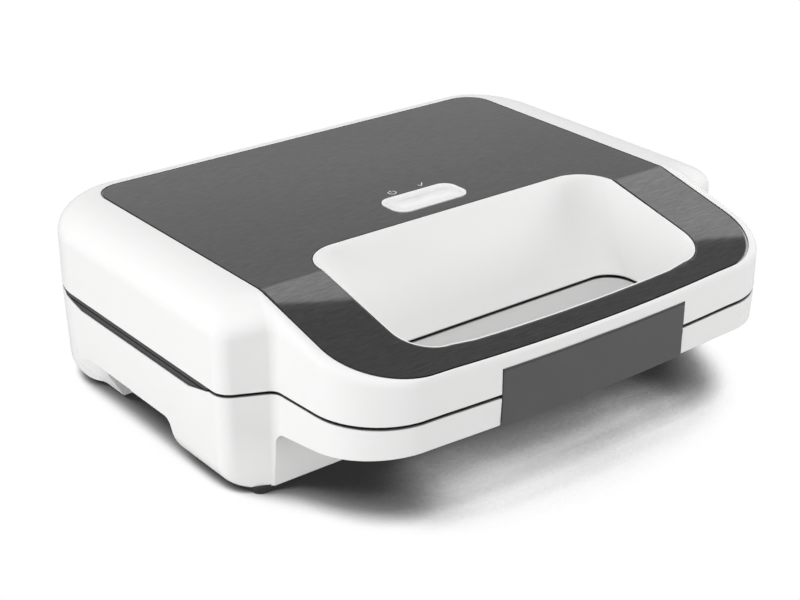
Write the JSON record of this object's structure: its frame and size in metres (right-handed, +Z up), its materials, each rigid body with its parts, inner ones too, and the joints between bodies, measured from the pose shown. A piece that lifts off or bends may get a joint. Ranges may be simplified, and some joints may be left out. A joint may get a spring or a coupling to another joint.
{
  "type": "sandwich toaster",
  "caption": "Sandwich toaster with a white moulded body, dark brushed-steel top, finger grip through lid and base, hinged lid and front latch flap.",
  "frame": {"origin": "middle of the footprint on the table, below the closed toaster", "axes": "+Z up, -Y towards the grip and latch, +X to the right as seen from the front"},
  "size_m": [0.26, 0.2214, 0.077],
  "materials": {
    "white_moulding": "glossy moulded",
    "brushed_cover": "dark brushed",
    "lens": "clear milky",
    "red_lamp": "glossy",
    "green_lamp": "glossy",
    "grey_moulding": "fine grain",
    "coated_casting": "die-cast with a dark non-stick coat",
    "mica": "plain",
    "ivory_moulding": "plain",
    "black_rubber": "matt",
    "bright_steel": "plain"
  },
  "bodies": {
    "base": {"base_shell": "white_moulding", "lower_cooking_plate": "coated_casting", "lower_heating_element": "bright_steel", "lower_element_clamps": "bright_steel", "lower_heat_reflector": "bright_steel", "lower_plate_screws": "bright_steel", "thermostat": "mica", "thermal_fuse": "bright_steel", "terminal_block": "ivory_moulding", "cord_gland": "black_rubber", "foot_front_left": "black_rubber", "foot_front_right": "black_rubber", "foot_rear_left": "black_rubber", "foot_rear_right": "black_rubber", "hinge_pin_left": "bright_steel", "hinge_pin_right": "bright_steel"},
    "lid": {"lid_shell": "white_moulding", "top_cover": "brushed_cover", "indicator_lens": "lens", "power_lamp": "red_lamp", "ready_lamp": "green_lamp", "lamp_board": "mica", "upper_cooking_plate": "coated_casting", "upper_heating_element": "bright_steel", "upper_element_clamps": "bright_steel", "upper_heat_reflector": "bright_steel", "upper_plate_screws": "bright_steel", "lid_thermostat": "mica"},
    "latch": {"latch_clip": "grey_moulding"}
  },
  "joints": [
    {"name": "lid_hinge", "type": "hinge", "parent": "base", "child": "lid", "pos_m": [0, 0.10625, 0.0425], "axis": [-1, 0, 0], "range_deg": [0, 100]},
    {"name": "latch_pivot", "type": "hinge", "parent": "lid", "child": "latch", "pos_m": [0, -0.10485, 0.0515], "axis": [-1, 0, 0], "range_deg": [0, 8]}
  ]
}
